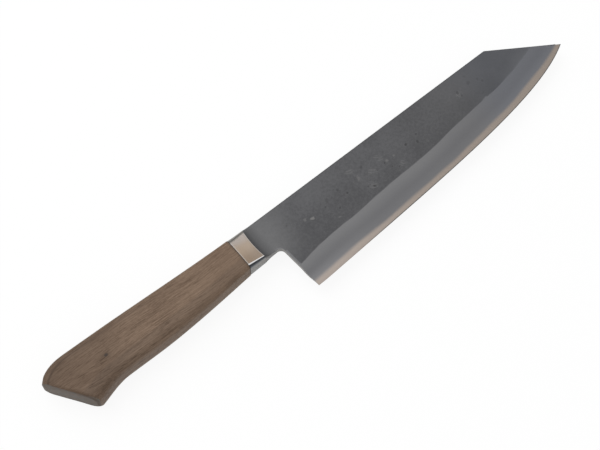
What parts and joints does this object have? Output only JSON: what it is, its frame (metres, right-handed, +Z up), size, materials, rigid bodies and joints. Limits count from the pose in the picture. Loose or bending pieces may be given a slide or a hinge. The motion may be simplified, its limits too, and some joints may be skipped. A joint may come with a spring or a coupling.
{
  "type": "kiritsuke gyuto knife",
  "caption": "Kitchen knife with a forge-scaled laminated blade, an angled tip, a wide ground bevel, a steel bolster and a hooked walnut handle on a hidden tang.",
  "frame": {"origin": "middle of the outline, on the plane that the left side of the handle rests on", "axes": "+X from the butt of the handle to the tip, +Y from the cutting edge to the spine, +Z up from the left side of the knife to its right side"},
  "size_m": [0.3266, 0.05, 0.016],
  "materials": {
    "core_steel": "fine stone polish along the edge",
    "forged_cladding": "dark forge scale above, satin ground bevel below",
    "bolster_steel": "satin",
    "walnut": "oiled, open grain",
    "bedding_glue": "cured dark epoxy"
  },
  "bodies": {
    "root": {"core_steel": "core_steel", "cladding_right": "forged_cladding", "cladding_left": "forged_cladding", "bolster_right": "bolster_steel", "bolster_left": "bolster_steel", "handle": "walnut", "tang_bedding": "bedding_glue"}
  },
  "joints": []
}
